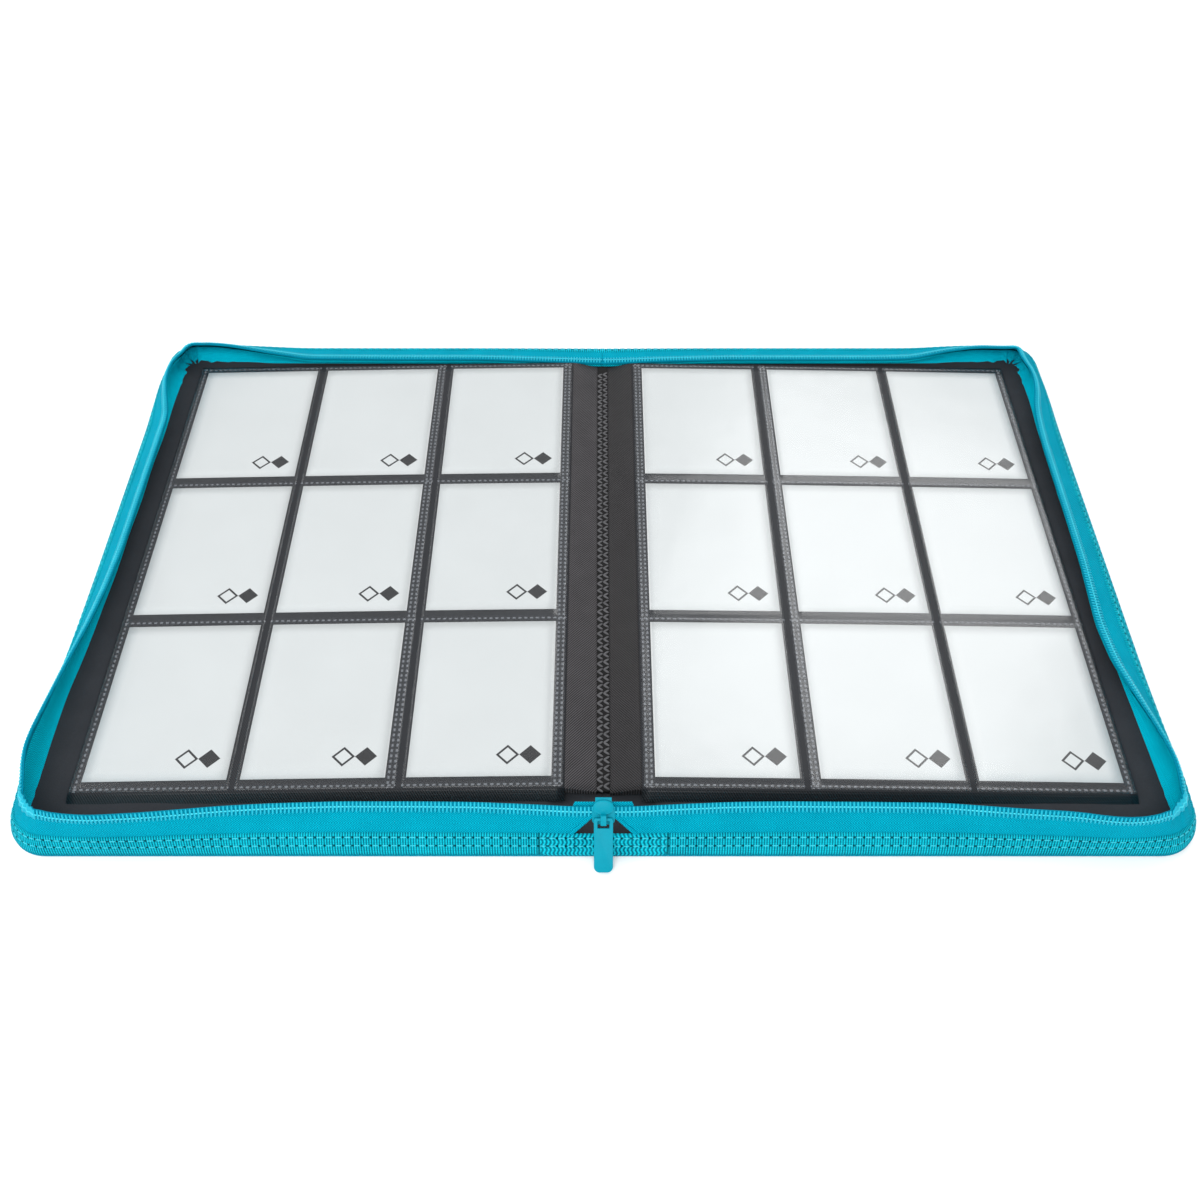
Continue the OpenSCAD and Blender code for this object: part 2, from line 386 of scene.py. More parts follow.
@dataclass(frozen=True)
class Diagonal:
    """Black sheet embossed with fine slanting ribs, part of it under clear film."""

    name: str
    light: Colour
    dark: Colour
    slope: float = 1.0
    pitch: float = 1.15
    depth: float = 0.1
    rough: float = 0.55
    coat: float = 0.0

    def material(self) -> bpy.types.Material:
        """Ribs whose phase is the sum of X times the slope, and Y.

        Returns:
            The material.
        """
        paint = Paint(self.name)
        x, y, _ = paint.place()
        cloud = paint.noise(9.0, 2.0)
        rib = (x * self.slope + y * 0.8 + cloud * 0.3).wave(self.pitch)
        colour = paint.mix(rib * 0.8 + cloud * 0.2, self.dark, self.light)
        return paint.finish(paint.principled(
            Base_Color=colour, Roughness=self.rough, Normal=paint.bump(rib, self.depth),
            Coat_Weight=self.coat, Coat_Roughness=0.2, Specular_IOR_Level=0.25))


@dataclass(frozen=True)
class Film:
    """Clear film, hazy where it is pressed, with rows of weld dimples."""

    name: str
    tint: Colour
    haze: float
    across_rows: tuple[float, ...]
    along_rows: tuple[float, ...]
    dot_pitch: float = 2.8

    def material(self) -> bpy.types.Material:
        """Haze and dimples as the share of a frosted shader over a clear, glossy one.

        Returns:
            The material.
        """
        paint = Paint(self.name)
        u, v = paint.lay()
        dots = None
        strip = None
        for rows, fixed, run in ((self.across_rows, u, v), (self.along_rows, v, u)):
            for row in rows:
                away = abs(fixed - row)
                spot = away.below(0.5, 0.35) * run.saw(self.dot_pitch).below(0.75, 0.4)
                band = away.below(1.6, 0.6)
                dots = spot if dots is None else dots.maths("MAXIMUM", spot)
                strip = band if strip is None else strip.maths("MAXIMUM", band)
        wave = paint.noise(22.0, 2.0)
        soft = paint.bump(wave, 0.8, 0.35)
        normal = paint.bump(dots, 0.02, 1.0, soft)
        frosted = paint.principled(
            Base_Color=paint.mix(dots, self.tint, (0.27, 0.29, 0.32)), Roughness=0.35,
            Normal=normal, Specular_IOR_Level=0.3)
        clear = paint.node("ShaderNodeBsdfTransparent", None, {"Color": (0.985, 0.99, 0.99, 1.0)})
        share = strip * 0.06 + dots * 0.3 + self.haze
        body = paint.node("ShaderNodeMixShader", None,
                          {0: share, 1: clear.outputs[0], 2: frosted.outputs[0]})
        gloss = paint.node("ShaderNodeBsdfGlossy", None,
                           {"Color": (1, 1, 1, 1), "Roughness": 0.2, "Normal": normal})
        weight = paint.node("ShaderNodeLayerWeight", None, {"Blend": 0.5, "Normal": normal})
        facing = Value(paint, weight.outputs["Facing"])
        return paint.finish(paint.node("ShaderNodeMixShader", None, {
            0: facing * facing * facing * 0.12 + 0.015, 1: body.outputs[0], 2: gloss.outputs[0]}))


@dataclass(frozen=True)
class CardFace:
    """Satin white card with a plain mark near one corner: an open and a solid diamond."""

    name: str
    white: Colour
    ink: Colour

    def material(self) -> bpy.types.Material:
        """The mark is where the sum of the distances from its centre is under its size.

        Returns:
            The material.
        """
        paint = Paint(self.name)
        x, y = paint.lay()
        left = abs(x - 43.8) + abs(y - 11.2)
        right = abs(x - 53.9) + abs(y - 11.2)
        ring = left.below(5.2, 0.25) - left.below(3.8, 0.25)
        mark = (ring + right.below(4.9, 0.25)).maths("ADD", 0.0, clamp=True)
        cloud = paint.noise(30.0, 2.0)
        grain = paint.noise(0.7, 2.0)
        paper = paint.mix(cloud, tuple(c * 0.93 for c in self.white), self.white)
        return paint.finish(paint.principled(
            Base_Color=paint.mix(mark, paper, self.ink), Roughness=0.55,
            Normal=paint.bump(grain, 0.01)))


BINDING = Cloth("binding_cloth", paint_colour(26, 212, 234), paint_colour(0, 66, 88),
                Weave.RIBBED, 1.1, 0.3, contrast=0.8, hole_rows=STITCH_ROWS, spine_end=27.0)
ZIP_TAPE = Cloth("zip_tape_cloth", paint_colour(0, 182, 208), paint_colour(0, 112, 140),
                 Weave.HERRINGBONE, 1.15, 0.2, contrast=0.9)
# The same tape as ZIP_TAPE, painted lighter: painted light on the tape's inner face, which the
# wall shades.
TAPE_INSIDE_PAINTED_LIGHT = Cloth("zip_tape_inside", paint_colour(0, 226, 250), paint_colour(0, 132, 160),
                    Weave.HERRINGBONE, 1.3, 0.2, contrast=0.9)
COIL_BED = Cloth("zip_coil_tape", paint_colour(0, 142, 168), paint_colour(0, 104, 130), pitch=0.8)
OUTER_CLOTH = Cloth("outer_cloth", paint_colour(4, 152, 176), paint_colour(0, 112, 138),
                    pitch=0.7, depth=0.1)
LINING = Cloth("lining_cloth", paint_colour(68, 70, 74), paint_colour(38, 40, 43), pitch=0.45,
               depth=0.05, rough=0.9)
COIL = Plastic("zip_coil_nylon", paint_colour(4, 186, 210), paint_colour(0, 150, 176), 0.5)
COIL_THREAD = Plastic("zip_coil_thread", paint_colour(84, 214, 228),
                      paint_colour(30, 184, 204), 0.7)
STITCH = Plastic("binding_thread", paint_colour(70, 208, 224), paint_colour(10, 160, 182), 0.7)
METAL = Plastic("zip_pull_paint", paint_colour(0, 148, 170), paint_colour(0, 134, 156), 0.4,
                gloss=0.1)
# Grey board, painted near black so that where slivers of it show they read as shadow gaps: partly
# its own colour, partly painted shade.
BOARD_PAINTED_SHADE = Plastic("board_paper", paint_colour(52, 53, 55), paint_colour(36, 37, 38), 0.9, depth=0.1)
FOAM = Plastic("foam_pad", paint_colour(110, 110, 112), paint_colour(84, 84, 86), 0.95, depth=0.15)
SEAM = Plastic("seam_thread", paint_colour(104, 104, 107), paint_colour(48, 48, 50), 0.6)
# Near-black sheet under the zigzag thread: painted shadow of the groove along the seam.
SEAM_BED_PAINTED_SHADOW = Plastic("pressed_seam_sheet", paint_colour(24, 24, 25), paint_colour(8, 8, 8), 0.8)
LEAF = Diagonal("leaf_sheet", paint_colour(46, 48, 52), paint_colour(34, 35, 38), 1.0, depth=0.03)
# The same sheet as LEAF, painted darker: painted shade on the leaves under the top one, seen along
# the stack's front edge.
LOWER_LEAF_PAINTED_SHADE = Diagonal("lower_leaf_sheet", paint_colour(40, 45, 50), paint_colour(10, 11, 13), 1.0,
                      coat=0.4, rough=0.4)
# The two gutter sheets are one material: the left is painted lighter and the right darker, as
# light falls on them (painted light and painted shade).
LEFT_STRIP_PAINTED_LIGHT = Diagonal("gutter_sheet_left", paint_colour(86, 84, 87), paint_colour(8, 8, 8),
                      -1.0, depth=0.25)
RIGHT_STRIP_PAINTED_SHADE = Diagonal("gutter_sheet_right", paint_colour(62, 61, 63), paint_colour(6, 6, 6),
                       1.0, depth=0.25)
WHITE_CARD = CardFace("card_face", paint_colour(208, 211, 212), paint_colour(30, 30, 33))


@cache
def material_of(finish: Cloth | Plastic | Diagonal | Film | CardFace) -> bpy.types.Material:
    """The finish's material, made once."""
    return finish.material()


# ---- Meshes ----


def turn_outwards(points: Array, quads: Array) -> Array:
    """Turns a closed shell's faces outwards if their signed volume is negative.

    The volume is a sixth of the sum of a . (b x c) over the faces' triangles.

    Args:
        points: Vertices, one a row.
        quads: Faces, four vertex numbers a row.

    Returns:
        The faces, turned if needed.
    """
    a, b, c, d = (points[quads[:, i]] for i in range(4))
    volume = (a * np.cross(b, c)).sum() + (a * np.cross(c, d)).sum()
    return quads[:, ::-1] if volume < 0 else quads


def make_piece(name: str, points: Array, quads: Array,
               lay: Array | None = None) -> bpy.types.Object:
    """Puts a smooth-shaded mesh into the scene.

    Args:
        name: Name of the piece.
        points: Vertices in millimetres, one a row.
        quads: Faces, four vertex numbers a row.
        lay: UV of each vertex, in millimetres.

    Returns:
        The object, at the origin.
    """
    quads = turn_outwards(points, quads)
    mesh = bpy.data.meshes.new(name)
    mesh.from_pydata((points * MM).tolist(), [], quads.tolist())
    if lay is not None:
        layer = mesh.uv_layers.new(name="lay")
        layer.data.foreach_set("uv", (lay[quads.ravel()] * MM).astype(np.float32).ravel())
    mesh.shade_smooth()
    thing = bpy.data.objects.new(name, mesh)
    bpy.context.scene.collection.objects.link(thing)
    return thing


def shell(name: str, outer: Array, inner: Array,
          lay: Array | None = None) -> bpy.types.Object:
    """A closed sheet between two grids of the same size, with a rim all round.

    The rings go along the outer grid's row and back along the inner one's, and ladders
    of quads close the first and last ring.

    Args:
        name: Name of the piece.
        outer: Grid of points, rows by columns by 3.
        inner: The other face's grid.
        lay: UV of the grid, rows by columns by 2.

    Returns:
        The object.
    """
    rows, columns = outer.shape[:2]
    ring = np.concatenate([outer, inner[:, ::-1]], axis=1)
    index = np.arange(rows * 2 * columns).reshape(rows, 2 * columns)
    after = np.roll(index, -1, axis=1)
    sides = np.stack([index[:-1], index[1:], after[1:], after[:-1]], -1).reshape(-1, 4)
    j = np.arange(columns - 1)
    ladder = np.stack([j, j + 1, 2 * columns - 2 - j, 2 * columns - 1 - j], -1)
    quads = np.concatenate([sides, index[0][ladder], index[-1][ladder][:, ::-1]])
    flat = None if lay is None else np.concatenate([lay, lay[:, ::-1]], axis=1).reshape(-1, 2)
    return make_piece(name, ring.reshape(-1, 3), quads, flat)


def bead(length: float, width: float, height: float, stations: int = 5, sides: int = 6,
         blunt: float = 0.5) -> tuple[Array, Array]:
    """A small rounded bar along X: rings whose radius is the sine of the way to a power.

    Args:
        length: Length along X.
        width: Width along Y.
        height: Height along Z.
        stations: Number of rings.
        sides: Points round each ring.
        blunt: The power: 1 is an ellipsoid, less is blunter.

    Returns:
        Its points and its faces.
    """
    turn = np.linspace(0.04, 0.96, stations) * np.pi
    reach = np.sin(turn) ** blunt
    around = np.arange(sides) * 2 * np.pi / sides
    x = np.repeat(-np.cos(turn)[:, None], sides, 1) * length / 2
    y = reach[:, None] * np.cos(around) * width / 2
    z = reach[:, None] * np.sin(around) * height / 2
    index = np.arange(stations * sides).reshape(stations, sides)
    after = np.roll(index, -1, axis=1)
    quads = np.stack([index[:-1], after[:-1], after[1:], index[1:]], -1).reshape(-1, 4)
    half = np.arange(sides // 2 - 1)
    lid = np.stack([half, half + 1, sides - 2 - half, sides - 1 - half], -1)
    quads = np.concatenate([quads, index[0][lid][:, ::-1], index[-1][lid]])
    return np.stack([x, y, z], -1).reshape(-1, 3), quads


def repeat(name: str, shape: tuple[Array, Array], places: Array, axes: Array) -> bpy.types.Object:
    """One piece of many copies of a small shape, each turned by its own axes.

    Args:
        name: Name of the piece.
        shape: Points and faces of the shape.
        places: Centre of each copy.
        axes: For each copy, the directions of the shape's X, Y and Z, one a row.

    Returns:
        The object.
    """
    points, quads = shape
    moved = places[:, None] + np.einsum("pk,nkc->npc", points, axes)
    steps = np.arange(len(places))[:, None, None] * len(points)
    return make_piece(name, moved.reshape(-1, 3), (quads[None] + steps).reshape(-1, 4))


def dress(thing: bpy.types.Object, finish: Any) -> None:
    """Gives a piece its material, and logs it.

    Args:
        thing: The piece.
        finish: Its finish.
    """
    thing.data.materials.clear()
    thing.data.materials.append(material_of(finish))
    LOG.info("%s: %d faces", thing.name, len(thing.data.polygons))


def ease(t: Array) -> Array:
    """Smooth step: three times the square of t less twice its cube, with t held to 0..1."""
    t = np.clip(t, 0.0, 1.0)
    return t * t * (3.0 - 2.0 * t)


def parabola(u: Array, first: Any, pull: Any, last: Any) -> Array:
    """A curve from first to last, pulled towards a third value.

    It is the square of 1 - u times the first, plus twice u times 1 - u times the pull,
    plus the square of u times the last.

    Args:
        u: Share of the way along.
        first: Value at 0.
        pull: Value that the curve leans to.
        last: Value at 1.

    Returns:
        The curve's values.
    """
    return (1 - u) ** 2 * first + 2 * u * (1 - u) * pull + u * u * last


def joined(s: Array, knots: Array, column: int, reach: float, count: int) -> Array:
    """Knots joined by straight lines, and averaged over a length either side.

    Args:
        s: Lengths at which the value is wanted.
        knots: One knot a row, its length first.
        column: Column that holds the value.
        reach: Length to either side over which it is averaged.
        count: Number of places averaged.

    Returns:
        The value at each length.
    """
    near = s[..., None] + np.linspace(-reach, reach, count)
    return np.interp(near, knots[:, 0], knots[:, column]).mean(-1)


# ---- Plan of the binder ----


@dataclass(frozen=True)
class Plan:
    """Sizes that the pieces share, in millimetres, as the CAD model has them."""

    edge_x: float = 254.5
    half_h: float = 170.0
    radius: float = 19.0
    board_half: float = 20.0
    wall_in: float = 44.5
    cover_top: float = 4.5
    spine_top: float = 3.5
    skin: float = 1.0
    leaf_in: float = 16.8
    leaf_z: float = 4.7
    leaf_pitch: float = 0.4
    leaf_t: float = 0.3
    leaves: int = 10

    def run(self) -> tuple[float, float, float]:
        """Length of the straight at each end, of a corner's arc, and of the long side."""
        return (self.edge_x - self.radius, self.radius * math.pi / 2,
                2 * (self.half_h - self.radius))

    def whole(self) -> float:
        """Length of the edge from the middle of the front to the middle of the back."""
        end, arc, long = self.run()
        return 2 * end + 2 * arc + long

    def corners(self) -> tuple[float, float]:
        """Lengths along the edge of the middles of the front and the back corner."""
        end, arc, long = self.run()
        return end + arc / 2, end + 1.5 * arc + long

    def edge(self, s: Array) -> tuple[Array, Array]:
        """Points of a cover's edge and the directions inwards, for the side with +X.

        The edge goes straight along the front, round a quarter circle, along the side,
        round another quarter circle and straight back; s is the length along it.

        Args:
            s: Lengths along the edge from the middle of the front.

        Returns:
            Points and inward directions, each with 2 columns.
        """
        end, arc, long = self.run()
        turn = (np.clip(s - end, 0, arc) + np.clip(s - end - arc - long, 0, arc)) / self.radius
        inward = np.stack([-np.sin(turn), np.cos(turn)], -1)
        x = np.clip(s, 0, end) - np.clip(s - end - 2 * arc - long, 0, end)
        y = np.clip(s - end - arc, 0, long) - (self.half_h - self.radius)
        centre = np.stack([x, y], -1)
        return centre - inward * self.radius, inward

    def blend(self, thing: bpy.types.Object, side: Side) -> None:
        """Bakes a cloth piece's placement into its mesh."""
        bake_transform(thing)


# Knots of the zip's free edge: length along the cover's edge, inset and height.
LEFT_RAIL = (
    (0, 12.9, 19.4), (13, 12.9, 19.4), (30, 14.5, 18.6), (54, 16.0, 18.0), (76, 16.5, 17.6),
    (111, 16.8, 17.2), (140, 15.0, 18.5), (159, 12.5, 20.5), (190, 7.8, 22.9), (213, 5.9, 23.6),
    (228, 7.5, 23.2), (240, 12.0, 21.0), (257, 13.0, 20.4), (270, 10.6, 21.8), (284, 7.2, 23.3),
    (294, 7.0, 23.3), (308, 8.6, 22.8), (334, 11.5, 21.4), (360, 14.4, 19.4), (385, 16.2, 17.8),
    (410, 17.1, 17.0), (512, 17.4, 16.7), (526, 13.9, 19.8), (539, 11.5, 21.4), (553, 12.2, 21.0),
    (567, 16.3, 17.8), (590, 16.0, 17.8), (607, 15.8, 18.2), (620, 16.8, 17.3), (633, 18.2, 15.4),
    (647, 18.0, 12.3), (661, 19.0, 10.1), (715, 19.2, 9.7), (762, 19.2, 9.7), (800, 19.4, 8.3),
    (833, 19.4, 6.8))
RIGHT_RAIL = (
    (0, 12.9, 19.4), (13, 12.9, 19.4), (30, 14.5, 18.6), (54, 16.0, 18.0), (76, 16.8, 17.2),
    (111, 16.4, 17.4), (142, 15.6, 18.0), (173, 10.6, 21.5), (195, 8.2, 22.9), (210, 5.0, 23.8),
    (221, 4.7, 23.9), (230, 7.0, 23.3), (242, 13.4, 20.2), (268, 12.2, 21.0), (277, 10.8, 21.8),
    (287, 11.3, 21.5), (301, 13.4, 20.2), (319, 16.4, 17.7), (342, 19.5, 13.9), (366, 20.3, 12.0),
    (404, 19.3, 14.3), (440, 19.0, 14.6), (487, 18.8, 14.9), (503, 18.4, 15.4), (518, 17.4, 16.7),
    (531, 14.6, 19.3), (545, 13.9, 19.8), (559, 16.1, 18.0), (580, 17.0, 17.0), (602, 17.5, 16.5),
    (616, 17.1, 17.0), (634, 17.4, 14.2), (653, 19.0, 10.1), (672, 19.2, 9.5), (760, 19.2, 9.5),
    (798, 19.4, 8.5), (817, 19.4, 7.4), (833, 19.4, 6.8))

# Knots of the line where the tape's inner face meets the lining: length and inset.
LEFT_FOOT = ((0, 12), (180, 11.5), (215, 10), (240, 9.5), (262, 9), (300, 8), (330, 8.4),
             (370, 11), (420, 12.5), (500, 13.5), (540, 13.5), (590, 14.0), (640, 16), (833, 17))
RIGHT_FOOT = ((0, 12), (180, 12), (240, 12.5), (270, 12), (300, 12.5), (330, 14.5), (380, 15.5),
              (480, 15.5), (540, 14), (590, 14), (640, 16), (833, 17))


@dataclass
class Wall:
    """The soft wall of binding and zip tape that stands round one half of the binder."""

    plan: Plan
    side: Side
    foot: tuple[float, float] = (0.9, 0.4)
    knee: tuple[float, float] = (1.5, 7.4)
    band_end: float = 11.4
    coil_w: float = 4.3
    turn: float = 1.65
    start: float = 3.6
    gathers: tuple[float, float] = (0.7, 1.9)
    band_flat: float = 10.2
    tape_flat: float = 14.5
    inner_flat: float = 17.0

    def rail(self, s: Array) -> tuple[Array, Array]:
        """Inset and height of the free edge: the knots joined and averaged over 12 mm.

        Args:
            s: Lengths along the edge.

        Returns:
            Insets and heights.
        """
        knots = np.array(LEFT_RAIL if self.side is Side.LEFT else RIGHT_RAIL, float)
        inset = joined(s, knots, 1, 6.0, 9)
        height = joined(s, knots, 2, 6.0, 9)
        for at in self.plan.corners():
            pucker = np.exp(-(((s - at) / 16.0) ** 2)) * np.sin(s * 0.9)
            inset = inset + 0.35 * pucker
        return inset, height

    def length(self, s: Array) -> Array:
        """Length of the wall's section, as two thirds of its chord and a third of its legs."""
        inset, height = self.rail(s)
        first = math.dist(self.foot, self.knee)
        second = np.hypot(inset - self.knee[0], height - self.knee[1])
        chord = np.hypot(inset - self.foot[0], height - self.foot[1])
        return (2 * chord + first + second) / 3

    def at(self, s: Array, up: Array, lift: Array | float, mirror: Array | None = None) -> Array:
        """Points of the wall.

        The section is a parabola from the foot to the rail, pulled towards the knee. The
        share u of the way along it comes from the length up it, as a u + b u squared.
        The lift goes along the section's normal, outwards and up.

        Args:
            s: Lengths along the edge.
            up: Lengths up the section.
            lift: Distance from the middle of the cloth.
            mirror: Sign of X at each point, if it isn't this side's.

        Returns:
            Points, 3 columns.
        """
        s, up = np.broadcast_arrays(s, up)
        inset, height = self.rail(s)
        a = 2 * math.dist(self.foot, self.knee)
        b = self.length(s) - a
        u = (-a + np.sqrt(a * a + 4 * b * np.maximum(up, -0.5))) / (2 * b)
        d = parabola(u, self.foot[0], self.knee[0], inset)
        z = parabola(u, self.foot[1], self.knee[1], height)
        td = (1 - u) * (self.knee[0] - self.foot[0]) + u * (inset - self.knee[0])
        tz = (1 - u) * (self.knee[1] - self.foot[1]) + u * (height - self.knee[1])
        size = np.hypot(td, tz)
        d, z = d - lift * tz / size, z + lift * td / size
        point, inward = self.plan.edge(s)
        flat = point + inward * d[..., None]
        sign = self.side.value if mirror is None else mirror
        return np.stack([sign * flat[..., 0], flat[..., 1], z], -1)

    def frames(self, s: Array, up: Array, lift: float) -> tuple[Array, Array]:
        """Places on the wall, with axes along, up and out of it.

        Args:
            s: Lengths along the edge.
            up: Lengths up the section.
            lift: Distance from the middle of the cloth.

        Returns:
            Places and their axes.
        """
        along = self.at(s + 0.2, up, lift) - self.at(s - 0.2, up, lift)
        rise = self.at(s, up + 0.2, lift) - self.at(s, up - 0.2, lift)
        along /= np.linalg.norm(along, axis=-1, keepdims=True)
        rise /= np.linalg.norm(rise, axis=-1, keepdims=True)
        return self.at(s, up, lift), np.stack([along, rise, np.cross(along, rise)], 1)

    def strip(self, name: str, s: Array, low: Array, high: Array, out: float, back: float,
              columns: int) -> bpy.types.Object:
        """A band of cloth along the wall, with rounded edges.

        Args:
            name: Name of the piece.
            s: Lengths along the edge, one a row.
            low: Where the band begins, up the section.
            high: Where it ends.
            out: Lift of its outer face.
            back: Lift of its inner face.
            columns: Points across it.

        Returns:
            The object.
        """
        v = np.linspace(0, 1, columns)
        up = low[:, None] + (high - low)[:, None] * v
        round_off = 1 - np.abs(2 * v - 1) ** 10 * 0.6
        middle = (out + back) / 2
        half = (out - back) / 2 * round_off
        grid = np.broadcast_to(s[:, None], up.shape)
        lay = np.stack([grid, up], -1)
        return shell(name, self.at(grid, up, middle + half), self.at(grid, up, middle - half), lay)

    def build(self) -> None:
        """Makes the binding, its stitches, the tape and the coil of this side."""
        plan, side, word = self.plan, self.side, self.side.word
        s = np.linspace(0.0, plan.whole(), 760)
        on_cover = ease((np.minimum(s, plan.whole() - s) - 24.0) / 2.0)
        binding = self.strip(f"{word}_edge_binding", s, 0.1 + 0.8 * on_cover,
                             np.full_like(s, self.band_end), 0.9, -0.3, 12)
        dress(binding, BINDING)
        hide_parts(f"{side.cover}_binding", "spine_front_binding", "spine_back_binding")
        plan.blend(binding, side)
        plan.whole() * MM
        self.band_flat * MM
        self.build_stitches()
        self.build_tape(s[s > self.start])
        self.build_inner_tape()
        self.build_coil()

    def build_stitches(self) -> None:
        """Makes the two rows of thread that hold the binding."""
        s = np.arange(STITCH_PITCH / 2, self.plan.whole(), STITCH_PITCH)
        rows = [self.frames(s, np.full_like(s, row), 0.88) for row in STITCH_ROWS]
        thread = repeat(f"{self.side.word}_binding_stitching", bead(2.7, 0.6, 0.45),
                        np.concatenate([row[0] for row in rows]),
                        np.concatenate([row[1] for row in rows]))
        dress(thread, STITCH)
        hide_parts(f"{self.side.cover}_stitching")
        self.plan.blend(thread, self.side)

    def build_tape(self, s: Array) -> None:
        """Makes the zip tape, whose lower edge folds up towards the slider.

        Args:
            s: Lengths along the edge at which it has a row of points.
        """
        top = self.length(s) - 1.2
        free = ease((13.6 - s) / 9.6)
        low = 10.6 + (top - 10.6 - 1.6) * free
        tape = self.strip(f"{self.side.word}_zip_tape", s, low, top, 0.35, -0.45, 14)
        dress(tape, ZIP_TAPE)
        end = "front_zip_end_left" if self.side is Side.LEFT else "front_zip_end_right"
        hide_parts(f"{self.side.cover}_zip_tape", end, "back_zip_end")
        self.plan.blend(tape, self.side)
        self.plan.whole() * MM
        self.tape_flat * MM
        t = np.linspace(0, 1, 24)
        path_s = 13.9 - 9.4 * t
        path_up = 11.1 + (self.length(path_s) - 3.4 - 11.1) * t
        across = np.linspace(-0.8, 0.8, 6)
        fold_s = path_s[:, None] + across * 0.75
        fold_up = path_up[:, None] + across * 0.75
        bulge = 0.55 * (1 - (across / 0.85) ** 2)
        lay = np.stack([fold_s, fold_up], -1)
        fold = shell(f"{self.side.word}_tape_fold", self.at(fold_s, fold_up, 0.4 + bulge),
                     self.at(fold_s, fold_up, 0.05), lay)
        dress(fold, ZIP_TAPE)
        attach(fold, "spine")

    def foot_inset(self, s: Array) -> Array:
        """Inset of the line where the tape's inner face meets the lining."""
        knots = np.array(LEFT_FOOT if self.side is Side.LEFT else RIGHT_FOOT, float)
        inset = joined(s, knots, 1, 5.0, 7)
        for at, depth in zip(self.plan.corners(), self.gathers):
            gather = np.exp(-(((s - at) / 20.0) ** 2))
            inset = inset + depth * gather * (np.sin(s * 0.72) + 0.6 * np.sin(s * 1.31 + 1.0))
        return inset

    def build_inner_tape(self) -> None:
        """Makes the tape's inner face, which slopes from the coil down to the lining.

        Each section is a parabola from the inside of the wall, pulled towards the wall's
        own foot, to the line where it meets the lining; gathers fade out towards the coil.
        """
        plan, side = self.plan, self.side
        s = np.linspace(self.start + 8.0, plan.whole(), 620)
        v = np.linspace(0, 1, 14)
        gs, gv = np.meshgrid(s, v, indexing="ij")
        inset, height = self.rail(gs)
        foot = self.foot_inset(gs)
        foot_z = np.where(np.abs(plan.edge(s)[0][:, :1]) < 30.0, 4.3, 4.75)
        d = parabola(gv, inset - 0.5, np.minimum(0.42 * foot, 4.5), foot)
        z = parabola(gv, height - 2.2, 7.0, foot_z)
        point, inward = plan.edge(gs)
        flat = point + inward * d[..., None]
        outer = np.stack([side.value * flat[..., 0], flat[..., 1], z], -1)
        flat = point + inward * (d - 0.5)[..., None]
        inner = np.stack([side.value * flat[..., 0], flat[..., 1], z - 0.35], -1)
        tape = shell(f"{side.word}_inner_tape", outer, inner, np.stack([gs, gv * 18.0], -1))
        # The inner face gets the lighter copy of the tape: painted light.
        dress(tape, TAPE_INSIDE_PAINTED_LIGHT)
        plan.blend(tape, side)
        plan.whole() * MM
        self.inner_flat * MM

    def build_coil(self) -> None:
        """Makes the coil: its edge tape, one turn every 1.65 mm and a chain of thread."""
        word, s = self.side.word, np.linspace(self.start, self.plan.whole(), 600)
        top = self.length(s)
        cord = self.strip(f"{word}_coil_tape", s, top - self.coil_w, top, 0.45, -0.7, 8)
        dress(cord, COIL_BED)
        turns = np.arange(self.start + 0.8, self.plan.whole() - 0.5, self.turn)
        places, axes = self.frames(turns, self.length(turns) - 2.1, 0.6)
        swap = axes[:, [1, 0, 2]] * np.array([1, 1, -1])[None, :, None]
        teeth = repeat(f"{word}_zip_coil", bead(4.7, 1.15, 1.0), places, swap)
        dress(teeth, COIL)
        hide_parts(f"{self.side.cover}_zip_coil")
        between = turns + self.turn / 2
        places, axes = self.frames(between, self.length(between) - 2.0, 1.0)
        chain = repeat(f"{word}_coil_thread", bead(1.0, 0.75, 0.65), places, axes)
        dress(chain, COIL_THREAD)
        for piece in (cord, teeth, chain):
            self.plan.blend(piece, self.side)


# ---- Covers ----


